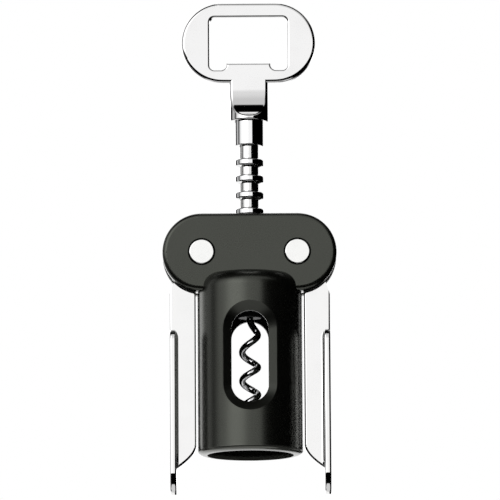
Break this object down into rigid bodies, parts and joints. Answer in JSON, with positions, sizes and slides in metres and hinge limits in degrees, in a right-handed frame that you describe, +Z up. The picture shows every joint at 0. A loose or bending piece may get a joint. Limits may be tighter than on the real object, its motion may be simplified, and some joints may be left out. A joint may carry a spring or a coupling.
{
  "type": "lever corkscrew",
  "caption": "Lever corkscrew: two toothed levers lift a ringed rack and a coiled worm through a black bell housing; the turning handle is a looped bottle opener.",
  "frame": {"origin": "on the worm's axis, in the plane of the bell's mouth", "axes": "+Z up along the worm's axis towards the handle, the front with the pins' heads faces -Y"},
  "size_m": [0.0626, 0.0376, 0.1792],
  "materials": {
    "housing_black": "satin black moulding",
    "lever_chrome": "polished chrome plate",
    "rack_chrome": "turned and chrome plated",
    "handle_chrome": "polished chrome plate",
    "pin_steel": "polished stainless steel",
    "inner_steel": "plain machined steel",
    "worm_steel": "polished steel wire",
    "holder_black": "blackened steel",
    "bush_nylon": "moulded nylon",
    "ring_nylon": "moulded nylon"
  },
  "bodies": {
    "frame": {"housing": "housing_black", "rack_guide_bush": "bush_nylon", "neck_ring": "ring_nylon", "left_pivot_pin": "pin_steel", "right_pivot_pin": "pin_steel", "left_pin_cap": "pin_steel", "right_pin_cap": "pin_steel"},
    "rack": {"ring_rack": "rack_chrome"},
    "spindle": {"spindle_rod": "inner_steel", "stem_collar": "rack_chrome", "opener_handle": "handle_chrome", "handle_lock_pin": "inner_steel", "worm_holder": "holder_black", "worm": "worm_steel", "worm_lock_pin": "inner_steel", "upper_thrust_washer": "inner_steel", "lower_thrust_washer": "inner_steel"},
    "left_lever_body": {"left_lever": "lever_chrome", "left_front_bush": "bush_nylon", "left_rear_bush": "bush_nylon"},
    "right_lever_body": {"right_lever": "lever_chrome", "right_front_bush": "bush_nylon", "right_rear_bush": "bush_nylon"}
  },
  "joints": [
    {"name": "rack_slide", "type": "slide", "parent": "frame", "child": "rack", "axis": [0, 0, 1], "range_m": [-0.033, 0]},
    {"name": "handle_turn", "type": "hinge", "parent": "rack", "child": "spindle", "pos_m": [0, 0, 0.1], "axis": [0, 0, 1], "continuous": true},
    {"name": "left_lever_swing", "type": "hinge", "parent": "frame", "child": "left_lever_body", "pos_m": [-0.0172, 0, 0.0727], "axis": [0, 1, 0], "range_deg": [0, 145.6]},
    {"name": "right_lever_swing", "type": "hinge", "parent": "frame", "child": "right_lever_body", "pos_m": [0.0172, 0, 0.0727], "axis": [0, -1, 0], "range_deg": [0, 145.6]}
  ],
  "couplings": [
    {"joint": "left_lever_swing", "follows": "rack_slide", "rad_per_m": -76.923},
    {"joint": "right_lever_swing", "follows": "rack_slide", "rad_per_m": -76.923}
  ]
}
